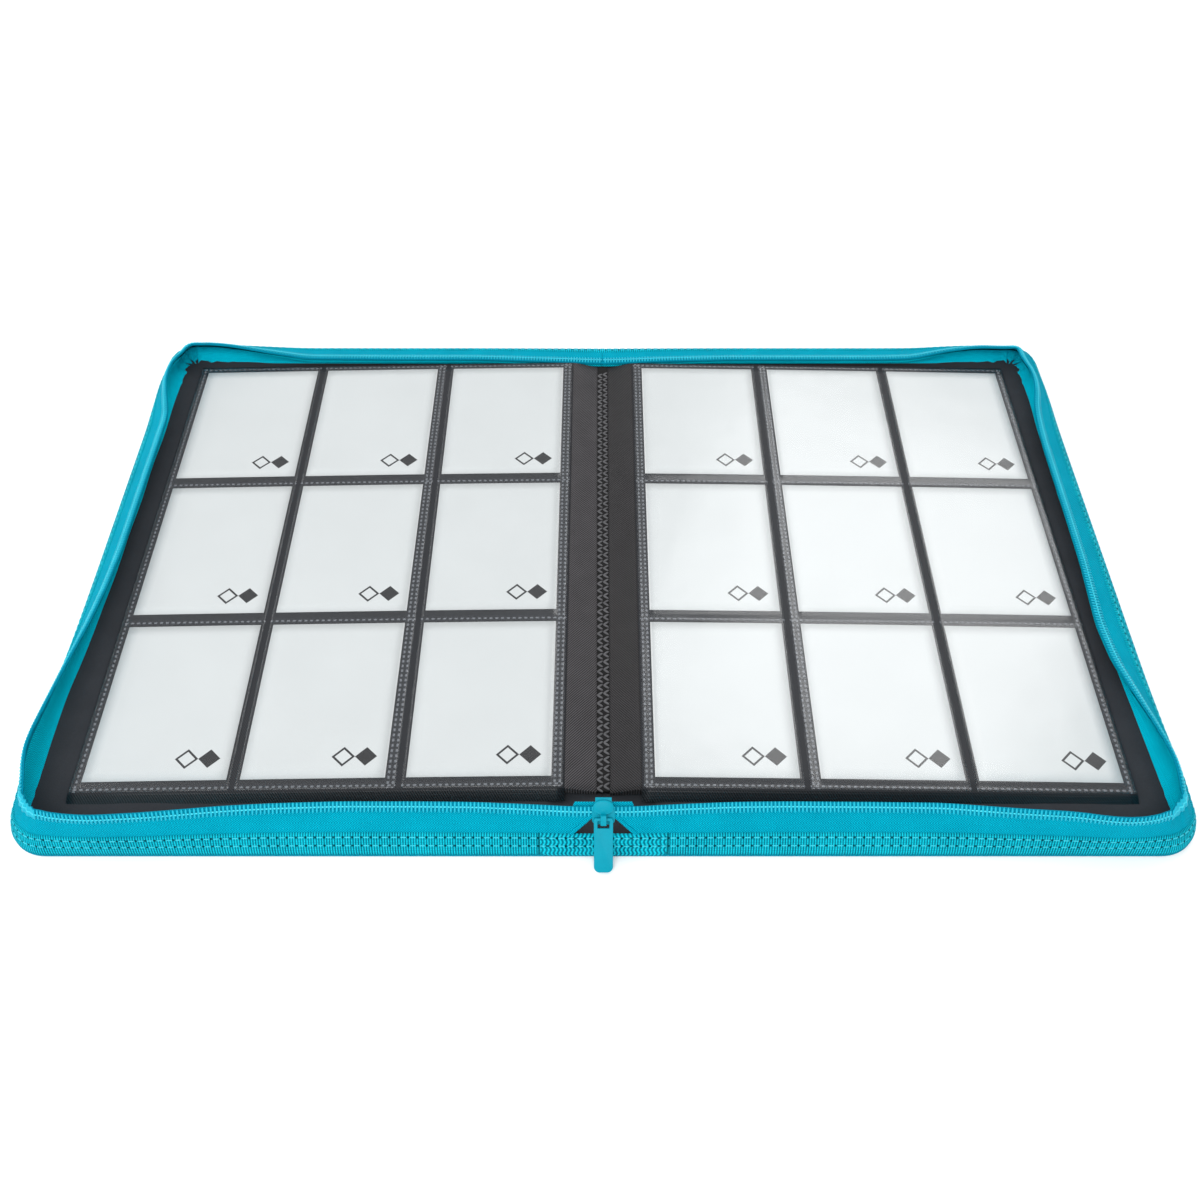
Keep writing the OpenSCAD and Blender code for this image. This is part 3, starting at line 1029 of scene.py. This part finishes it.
@dataclass
class Cover:
    """Cloth, lining, board and foam of one half of the binder."""

    plan: Plan
    side: Side
    cloth_inset: float = 0.35
    lining_inset: float = 2.8
    foam_inset: float = 3.0
    lining_t: float = 0.35
    cushion: float = 0.5
    board_short: float = 5.0

    def half(self, x: Array, inset: float) -> Array:
        """Half height of the outline at x: straight, then a quarter circle.

        Args:
            x: Distances from the middle of the spine.
            inset: Distance inside the cover's edge.

        Returns:
            Half heights.
        """
        plan = self.plan
        r = plan.radius - inset
        over = np.clip(x - (plan.edge_x - inset - r), 0, r)
        return plan.half_h - inset - r + np.sqrt(r * r - over * over)

    def columns(self, start: float, inset: float) -> Array:
        """Distances from the spine, close together where the cloth bends and at the corner."""
        plan = self.plan
        r = plan.radius - inset
        corner = plan.edge_x - inset - r + r * np.sin(np.linspace(0, math.pi / 2, 16))
        bend = np.linspace(start, 46.0, 28)
        return np.concatenate([bend, np.linspace(46.0, corner[0], 34)[1:-1], corner])

    def slab(self, name: str, start: float, inset: float,
             rise: float | Callable[[Array, Array], Array], thick: float, rows: int,
             short: float = 0.0) -> bpy.types.Object:
        """A closed layer whose plan is the cover's outline, inset.

        Args:
            name: Name of the piece.
            start: Its inner edge, from the middle of the spine.
            inset: Distance inside the cover's edge.
            rise: Height of its top, a number or a function of x and y.
            thick: Its thickness.
            rows: Points from the front to the back.
            short: Length that each end lacks beside the hinge, where the wall folds in.

        Returns:
            The object.
        """
        x = self.columns(start, inset)
        share = np.sin(np.linspace(-1, 1, rows) * math.pi / 2)
        y = (self.half(x, inset) - short * ease((46.0 - x) / 20.0))[:, None] * share
        grid = np.broadcast_to(x[:, None], y.shape)
        top = rise(grid, y) if callable(rise) else np.full_like(y, rise)
        sign = self.side.value
        outer = np.stack([sign * grid, y, top], -1)
        inner = np.stack([sign * grid, y, top - thick], -1)
        return shell(name, outer, inner, np.stack([grid, y], -1))

    def lining_top(self, x: Array, y: Array) -> Array:
        """Height of the lining: the spine's, then the cover's, and puffed beyond the leaves."""
        plan = self.plan
        step = plan.spine_top + (plan.cover_top - plan.spine_top) * ease((x - 20.5) / 5.0)
        beyond = np.maximum(np.maximum(x - 234.0, -y - 143.0), y - 151.5)
        rim = np.minimum(plan.edge_x - x, plan.half_h - np.abs(y))
        puff = self.cushion * ease(beyond / 6.0) * ease((rim - 1.0) / 6.0) * ease((x - 26) / 8)
        wave = 0.12 * np.sin(x * 0.11 + y * 0.05) * np.sin(y * 0.07) * ease(beyond / 6.0)
        return step + puff + wave

    def build(self) -> None:
        """Makes the cloth, the lining, the board and the foam of this side."""
        plan, side = self.plan, self.side
        cloth = self.slab(f"{side.word}_outer_cloth", 0.0, self.cloth_inset,
                          plan.skin + 0.1, plan.skin + 0.1, 60)
        dress(cloth, OUTER_CLOTH)
        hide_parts(f"{side.cover}_skin", "spine_skin")
        plan.blend(cloth, side)
        lining = self.slab(f"{side.word}_lining", 0.0, self.lining_inset, self.lining_top,
                           self.lining_t, 90)
        dress(lining, LINING)
        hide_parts(f"{side.cover}_lining", "spine_lining")
        plan.blend(lining, side)
        board = self.slab(f"{side.word}_board", 25.4, 1.3, 3.0, 1.9, 40, self.board_short)
        # The board takes the near-black board colour: partly painted shade.
        dress(board, BOARD_PAINTED_SHADE)
        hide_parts(f"{side.cover}_board")
        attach(board, side.cover)
        foam = self.slab(f"{side.word}_foam", 27.0, self.foam_inset,
                         plan.cover_top - self.lining_t - 0.1, 0.95, 40, self.board_short)
        dress(foam, FOAM)
        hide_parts(f"{side.cover}_foam")
        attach(foam, side.cover)


# ---- Leaves ----

# How far each side's sheets draw in and swing at their outer edge, and lie forward.
SHEET_LAY = {Side.LEFT: (1.2, 1.9, 0.5), Side.RIGHT: (2.0, 1.7, 1.1)}


@dataclass
class Pages:
    """The ten leaves of one side, the gutter beside the seam, and the top pockets and cards."""

    plan: Plan
    side: Side
    card_w: float = 63.5
    card_h: float = 88.0
    card_t: float = 0.28
    column: float = 72.7
    row: float = 95.8
    rows_y: float = 5.5
    lip: float = 1.8
    weld: float = 5.0
    film_in: float = 17.6
    film_t: float = 0.05
    haze: float = 0.03
    seam_x: float = 2.8
    gutter_t: float = 0.15
    leaf_w: float = 216.0
    sag: float = 0.62
    fan: float = 0.42
    closed_reach: float = 0.95

    def sheet_grid(self, x: Array, y: Array, z: Array) -> Array:
        """Points of a grid on this side, with the stack pressed thinner towards its outer edge.

        With t the share of the way out, heights over the lining shrink by the sag times t
        to the power 1.5, and the sheets draw in and swing forward a little in proportion
        to t.

        Args:
            x: Distances from the middle of the spine.
            y: Places from the front to the back.
            z: Heights.

        Returns:
            Points, 3 columns.
        """
        narrow, swing, forward = SHEET_LAY[self.side]
        t = np.clip((x - self.plan.leaf_in) / self.leaf_w, 0.0, 1.1)
        low = self.plan.leaf_z
        height = low + (z - low) * (1.0 - self.sag * t ** 1.5)
        return np.stack([self.side.value * (x - narrow * t), y - swing * t - forward, height], -1)

    def build(self) -> None:
        """Makes the leaves, gutter strips, films and cards of this side."""
        low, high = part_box(f"{self.side.word}_leaf_01")
        y0, y1 = low.y / MM, high.y / MM
        x1 = max(abs(low.x), abs(high.x)) / MM
        rng = np.random.default_rng(5 + self.side.value)
        for i in range(1, self.plan.leaves + 1):
            self.build_leaf(i, x1, y0, y1, rng)
            self.build_gutter(i, y0, y1)
        for c in range(3):
            self.build_film(c, y0 + 1.0, y1 - 1.0)
            for r in range(3):
                self.build_card(c, r)

    def leaf_z(self, i: int) -> float:
        """Height of the underside of leaf i."""
        return self.plan.leaf_z + (i - 1) * self.plan.leaf_pitch

    def follow_leaf(self, piece: bpy.types.Object, i: int) -> None:
        """Hangs a piece on leaf i, and gives it its own copy of its mesh.

        Args:
            piece: Sheet, film or card.
            i: Number of the leaf, from the bottom.
        """
        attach(piece, f"{self.side.word}_leaf_{i:02d}")
        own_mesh(piece)

    def build_leaf(self, i: int, x1: float, y0: float, y1: float,
                   rng: np.random.Generator) -> None:
        """Makes one leaf: a thin sheet, a little further out at the front the lower it lies.

        Args:
            i: Number of the leaf, from the bottom.
            x1: Its outer edge.
            y0: Its front edge.
            y1: Its back edge.
            rng: Source of the small differences between leaves.
        """
        below = self.plan.leaves - i
        fan = 0.0 if below == 0 else self.fan * below + rng.uniform(-0.15, 0.2)
        skew = 0.0 if below == 0 else rng.uniform(-0.3, 0.3)
        x = np.linspace(self.plan.leaf_in, x1, 56)
        t = np.linspace(0, 1, 40)
        gx, gt = np.meshgrid(x, t, indexing="ij")
        far = (gx - x[0]) / (x[-1] - x[0])
        front = y0 - fan - skew * far
        gy = front + (y1 - front) * gt
        wave = 0.02 * np.sin(gx * 0.09 + i) * np.sin(gy * 0.06 + 2 * i)
        z = self.leaf_z(i) + 0.03 + wave
        outer = self.sheet_grid(gx, gy, z + self.plan.leaf_t - 0.06)
        inner = self.sheet_grid(gx, gy, z)
        leaf = shell(f"{self.side.word}_sheet_{i:02d}", outer, inner,
                     np.stack([gx, gy - front], -1))
        # Leaves below the top one get the darker copy of the sheet: painted shade.
        dress(leaf, LEAF if below == 0 else LOWER_LEAF_PAINTED_SHADE)
        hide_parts(f"{self.side.word}_leaf_{i:02d}")
        self.follow_leaf(leaf, i)

    def build_gutter(self, i: int, y0: float, y1: float) -> None:
        """Makes the strip between the seam and leaf i, which rises to the leaf in an S.

        Args:
            i: Number of the leaf, from the bottom.
            y0: Its front edge.
            y1: Its back edge.
        """
        plan = self.plan
        t = np.linspace(0, 1, 14)
        y = np.linspace(y0, y1, 60)
        gt, gy = np.meshgrid(t, y, indexing="ij")
        x = self.seam_x + (plan.leaf_in - self.seam_x) * gt
        seam_z = plan.spine_top + 0.2 + 0.185 * (i - 1)
        rise = 0.45 * gt + 0.55 * (0.5 - 0.5 * np.cos(math.pi * gt))
        slack = 0.06 * np.sin(gy * 0.12) * np.sin(math.pi * gt) if i == plan.leaves else 0.0
        z = seam_z + (self.leaf_z(i) + 0.03 - seam_z) * rise + slack
        thick = self.gutter_t + 0.06 * gt
        strip = shell(f"{self.side.word}_gutter_{i:02d}", self.sheet_grid(x, gy, z + thick),
                      self.sheet_grid(x, gy, z), np.stack([x, gy], -1))
        # Left and right gutter colours differ only by painted light and painted shade.
        finish = LEFT_STRIP_PAINTED_LIGHT if self.side is Side.LEFT else RIGHT_STRIP_PAINTED_SHADE
        dress(strip, finish)
        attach(strip, f"{self.side.word}_leaf_{i:02d}")
        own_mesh(strip)

    def card_x(self, c: int) -> float:
        """Inner edge of the cards of a column."""
        return self.film_in + c * self.column + (self.weld if c < 2 else self.lip)

    def weld_rows(self, y0: float) -> tuple[float, ...]:
        """Where the films are welded across, measured from their front edge."""
        lower = self.rows_y - self.row - self.card_h / 2
        tops = [self.rows_y + (r - 1) * self.row + self.card_h / 2 for r in range(3)]
        return (lower - 4.0 - y0, *(top + 2.4 - y0 for top in tops))

    def build_film(self, c: int, y0: float, y1: float) -> None:
        """Makes one column's film: over the cards, and pressed down along its welds.

        Args:
            c: Number of the column, from the spine.
            y0: Front edge.
            y1: Back edge.
        """
        wide = self.lip + self.card_w + (self.weld if c < 2 else 4.3)
        across = (1.3, 3.5) if c < 2 else (wide - 2.2,)
        rows = self.weld_rows(y0)
        u, v = np.linspace(0, wide, 60), np.linspace(0, y1 - y0, 210)
        gu, gv = np.meshgrid(u, v, indexing="ij")
        pressed = np.zeros_like(gu)
        for row in rows:
            pressed = np.maximum(pressed, ease((2.4 - np.abs(gv - row)) / 1.2))
        for row in across:
            pressed = np.maximum(pressed, ease((2.2 - np.abs(gu - row)) / 1.0))
        top = self.leaf_z(self.plan.leaves) + self.plan.leaf_t + self.card_t + 0.07
        wave = 0.03 * np.sin(gu * 0.13 + c) * np.sin(gv * 0.045 + 2 * c + self.side.value)
        z = top - 0.29 * pressed + wave * (1 - pressed)
        x, y = self.film_in + c * self.column + gu, y0 + gv
        film = shell(f"{self.side.word}_pocket_film_{c + 1}",
                     self.sheet_grid(x, y, z + self.film_t), self.sheet_grid(x, y, z),
                     np.stack([gu, gv], -1))
        finish = Film(f"pocket_film_{self.side.word}_{c + 1}", paint_colour(84, 88, 94),
                      self.haze, across, rows)
        dress(film, finish)
        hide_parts(f"{self.side.word}_pockets")
        self.follow_leaf(film, self.plan.leaves)

    def build_card(self, c: int, r: int) -> None:
        """Makes one card, with its lay measured from its lower left corner.

        Args:
            c: Number of the column, from the spine.
            r: Number of the row, from the front.
        """
        x0 = self.card_x(c)
        y0 = self.rows_y + (r - 1) * self.row - self.card_h / 2
        gx, gy = np.meshgrid(np.linspace(0, self.card_w, 12), np.linspace(0, self.card_h, 16),
                             indexing="ij")
        z = np.full_like(gx, self.leaf_z(self.plan.leaves) + self.plan.leaf_t + 0.01)
        z = z + 0.02 * np.sin(gx / self.card_w * math.pi) * np.sin(gy / self.card_h * math.pi)
        from_left = gx if self.side is Side.RIGHT else self.card_w - gx
        card = shell(f"{self.side.word}_card_{c * 3 + r + 1}",
                     self.sheet_grid(x0 + gx, y0 + gy, z + self.card_t),
                     self.sheet_grid(x0 + gx, y0 + gy, z), np.stack([from_left, gy], -1))
        dress(card, WHITE_CARD)
        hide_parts(f"{self.side.word}_cards")
        self.follow_leaf(card, self.plan.leaves)


@dataclass
class Seam:
    """The pressed middle of the leaves and the zigzag thread down it."""

    plan: Plan
    half_w: float = 2.9
    top: float = 5.55
    pitch: float = 4.6

    def build(self) -> None:
        """Makes the core, a low rounded bar, and two columns of V-shaped stitches."""
        low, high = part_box("folio_gutter")
        y0, y1 = low.y / MM, high.y / MM
        t = np.linspace(-1, 1, 15)
        gt, gy = np.meshgrid(t, np.linspace(y0, y1, 160), indexing="ij")
        dimple = 0.1 * np.cos(gy * 2 * math.pi / self.pitch) * (1 - gt * gt)
        z = self.top - 0.25 * np.abs(gt) ** 3 - dimple
        grid = np.stack([gt * self.half_w, gy, z], -1)
        base = grid * (1, 1, 0) + (0, 0, self.plan.spine_top)
        core = shell("gutter_core", grid, base, np.stack([gt * self.half_w, gy], -1))
        # The core is painted near black: painted shadow of the seam's groove.
        dress(core, SEAM_BED_PAINTED_SHADOW)
        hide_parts("folio_gutter")
        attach(core, "spine")
        box_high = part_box("seam_stitching")[1]
        y = np.arange(y0 + 1.8, box_high.y / MM - 1.5, self.pitch)
        places, axes = [], []
        for sign in (-1, 1):
            for lean in (-1, 1):
                direction = np.array([0.8, lean * 0.6, 0.0])
                middle = np.stack([np.full_like(y, sign * 1.45), y + lean * 0.85 + sign * 0.6,
                                   np.full_like(y, self.top + 0.08)], -1)
                places.append(middle)
                frame = np.stack([direction, np.cross((0, 0, 1), direction), (0, 0, 1)])
                axes.append(np.broadcast_to(frame, (len(y), 3, 3)))
        thread = repeat("zigzag_seam", bead(3.3, 1.25, 1.0), np.concatenate(places),
                        np.concatenate(axes))
        dress(thread, SEAM)
        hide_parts("seam_stitching")
        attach(thread, "spine")


# ---- Slider ----


@dataclass
class Slider:
    """The zip's slider, crown and pull, and the cloth tab behind them."""

    plan: Plan
    nodes: dict[str, bpy.types.Object]
    centre: tuple[float, float, float] = (0.0, -158.0, 17.2)
    lean: tuple[float, float] = (0.6357, 0.7719)
    crown_up: float = 2.6
    crown_out: float = 3.1

    def soften(self, node: str, name: str, width: float, body: str) -> None:
        """Makes a rounded copy of a CAD node: points merged, flat faces joined, edges bevelled.

        Args:
            node: Name of the CAD node.
            name: Name of the piece.
            width: Width of the bevel in millimetres.
            body: Body that it rides on.
        """
        mesh = self.nodes[node].data.copy()
        mesh.name = name
        work = bmesh.new()
        work.from_mesh(mesh)
        bmesh.ops.remove_doubles(work, verts=work.verts, dist=2e-6)
        bmesh.ops.dissolve_limit(work, angle_limit=math.radians(2), verts=work.verts,
                                 edges=work.edges)
        bmesh.ops.recalc_face_normals(work, faces=work.faces)
        work.to_mesh(mesh)
        work.free()
        mesh.shade_smooth()
        thing = bpy.data.objects.new(name, mesh)
        bpy.context.scene.collection.objects.link(thing)
        bevel = thing.modifiers.new("rounded edges", "BEVEL")
        bevel.width, bevel.segments, bevel.limit_method = width * MM, 3, "ANGLE"
        bevel.angle_limit = math.radians(35)
        bevel.harden_normals = True
        dress(thing, METAL)
        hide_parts(node)
        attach(thing, body)

    def build(self) -> None:
        """Makes the slider, its crown, the pull and the tab."""
        self.soften("slider_body", "zip_slider", 0.35, "slider")
        self.soften("slider_bridge", "zip_slider_bridge", 0.25, "slider")
        self.soften("pull_tab", "zip_pull", 0.25, "pull")
        c, s = self.lean
        axes = np.array([[0, c, s], [1, 0, 0], [0, -s, c]])
        centre = np.array(self.centre) + self.crown_up * axes[0] + self.crown_out * axes[2]
        crown = repeat("zip_slider_crown", bead(6.4, 8.8, 1.5, 15, 28, 0.9), centre[None],
                       axes[None])
        dress(crown, METAL)
        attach(crown, "slider")
        self.build_tab()

    def build_tab(self) -> None:
        """Makes the cloth tab: a strip behind the coils whose ends slant outwards."""
        wall = Wall(self.plan, Side.RIGHT)
        t = np.linspace(-1, 1, 30)
        v = np.linspace(0, 1, 6)
        gt, gv = np.meshgrid(t, v, indexing="ij")
        x = gt * (14.2 - 2.2 * gv)
        s = np.abs(x)
        up = wall.length(s) - 3.0 + 4.6 * gv
        mirror = np.where(x < 0, -1.0, 1.0)
        lay = np.stack([x + 20.0, up], -1)
        tab = shell("zip_end_tab_cloth", wall.at(s, up, -1.3, mirror),
                    wall.at(s, up, -1.8, mirror), lay)
        dress(tab, ZIP_TAPE)
        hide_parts("zip_end_tab")
        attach(tab, "spine")


# ---- Stage ----

# Soft lights: name, place and side in metres, and power in watts.
LIGHTS = (("front_softbox", (-0.2, -1.2, 1.2), 1.2, 19.0),
          ("left_softbox", (-1.3, 0.2, 1.0), 1.0, 8.0),
          ("back_right_softbox", (0.56, 1.15, 1.4), 0.8, 11.0))


@dataclass
class Studio:
    """Camera, floor and soft lights."""

    eye: tuple[float, float, float] = (-0.00144, -0.4253, 0.45425)
    down: float = 51.7126
    lens: float = 36.572
    shift: float = 0.0542
    sky: float = 0.7

    def build(self) -> None:
        """Makes the camera, the floor, the sky and the lights."""
        scene = bpy.context.scene
        camera = bpy.data.objects.new("camera", bpy.data.cameras.new("camera"))
        scene.collection.objects.link(camera)
        camera.location = self.eye
        camera.rotation_euler = (math.radians(90 - self.down), 0, 0)
        camera.data.lens, camera.data.sensor_width = self.lens, 36.0
        camera.data.shift_y = self.shift
        camera.data.clip_start, camera.data.clip_end = 0.01, 50.0
        scene.camera = camera
        self.build_floor()
        for name, place, size, power in LIGHTS:
            self.light(name, place, size, power)
        world = bpy.data.worlds.new("sky")
        scene.world = world
        world.use_nodes = True
        sky = world.node_tree.nodes["Background"]
        sky.inputs[0].default_value = (1.0, 1.0, 1.0, 1.0)
        sky.inputs[1].default_value = self.sky
        scene.view_settings.view_transform = "Standard"

    def build_floor(self) -> None:
        """Makes the pale floor."""
        t = np.linspace(-2600.0, 2600.0, 5)
        gx, gy = np.meshgrid(t, t, indexing="ij")
        low = np.stack([gx, gy, np.full_like(gx, -8.0)], -1)
        floor = shell("floor", low + np.array([0, 0, 7.95]), low)
        paint = Paint("pale_floor")
        cloud = paint.noise(60.0, 2.0)
        colour = paint.mix(cloud, (0.93, 0.93, 0.93), (0.95, 0.95, 0.95))
        floor.data.materials.append(paint.finish(
            paint.principled(Base_Color=colour, Roughness=0.9, Specular_IOR_Level=0.1)))

    def light(self, name: str, place: tuple[float, float, float], size: float,
              power: float) -> None:
        """Adds a square soft light that faces the binder.

        Args:
            name: Name of the light.
            place: Where it hangs, in metres.
            size: Its side, in metres.
            power: Its power in watts.
        """
        data = bpy.data.lights.new(name, "AREA")
        data.size, data.energy = size, power
        lamp = bpy.data.objects.new(name, data)
        lamp.location = place
        lamp.rotation_mode = "QUATERNION"
        lamp.rotation_quaternion = (-Vector(place)).to_track_quat("-Z", "Y")
        bpy.context.scene.collection.objects.link(lamp)


def main() -> None:
    """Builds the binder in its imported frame."""
    logging.basicConfig(level=logging.INFO, format="%(message)s")
    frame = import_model()
    plan = Plan()
    Studio().build()
    # The spine board takes the near-black board colour: partly painted shade.
    dress(frame["nodes"]["spine_board"], BOARD_PAINTED_SHADE)
    for side in Side:
        Cover(plan, side).build()
        Wall(plan, side).build()
        Pages(plan, side).build()
    Seam(plan).build()
    Slider(plan, frame["nodes"]).build()


if __name__ == "__main__":
    main()
